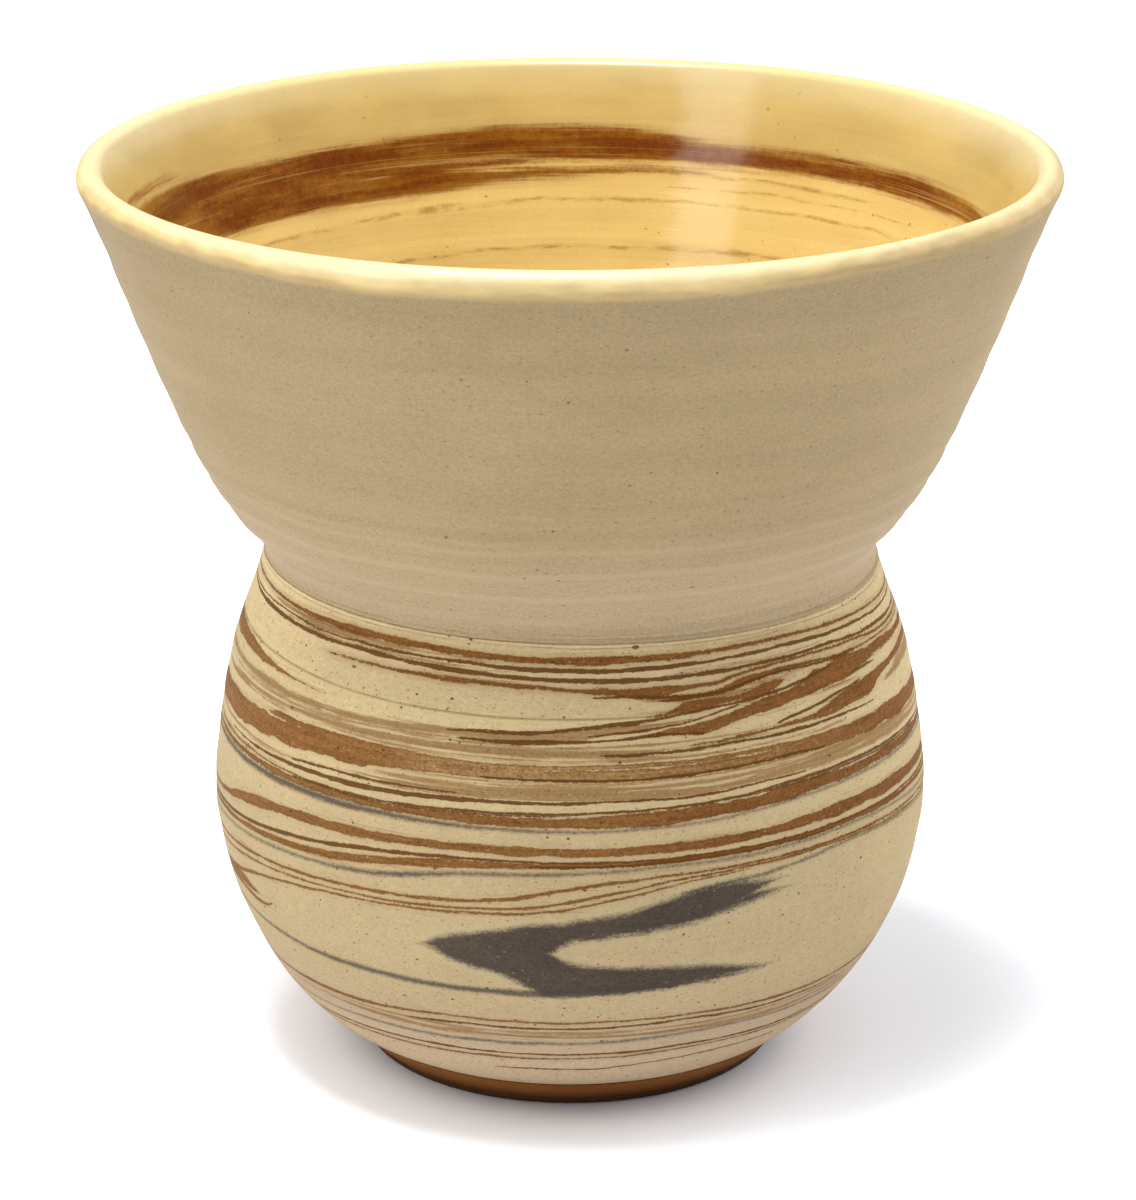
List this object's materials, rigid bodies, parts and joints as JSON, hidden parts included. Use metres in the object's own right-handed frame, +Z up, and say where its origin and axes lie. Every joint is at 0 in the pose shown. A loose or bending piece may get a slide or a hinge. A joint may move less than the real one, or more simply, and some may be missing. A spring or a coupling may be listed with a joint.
{
  "type": "ceramic mate cup",
  "caption": "Wheel-thrown ceramic mate cup: round marbled stoneware bowl on a short foot, waisted neck and wide flared collar, glazed inside and over the lip, for drinking yerba mate.",
  "frame": {"origin": "centre of the ring that the cup stands on, in the plane of the table", "axes": "+Z up along the axis the cup was thrown on, -Y towards the viewer of the picture, +X to the viewer's right"},
  "size_m": [0.095, 0.095, 0.0909],
  "materials": {
    "brown_clay": "bare turned brown stoneware, matte",
    "marbled_clay": "bare cream stoneware marbled with brown and grey clay, matte",
    "collar_clay": "cream stoneware body, matte, covered by slip and glaze",
    "pale_slip": "matte pale speckled slip with faint throwing lines",
    "honey_glaze": "glossy honey-coloured transparent glaze over streaked clay",
    "rim_glaze": "satin to glossy butter-coloured glaze over the lip"
  },
  "bodies": {
    "root": {"foot_ring": "brown_clay", "marbled_bowl": "marbled_clay", "flared_collar": "collar_clay", "collar_slip": "pale_slip", "inner_glaze": "honey_glaze", "rim_glaze": "rim_glaze"}
  },
  "joints": []
}
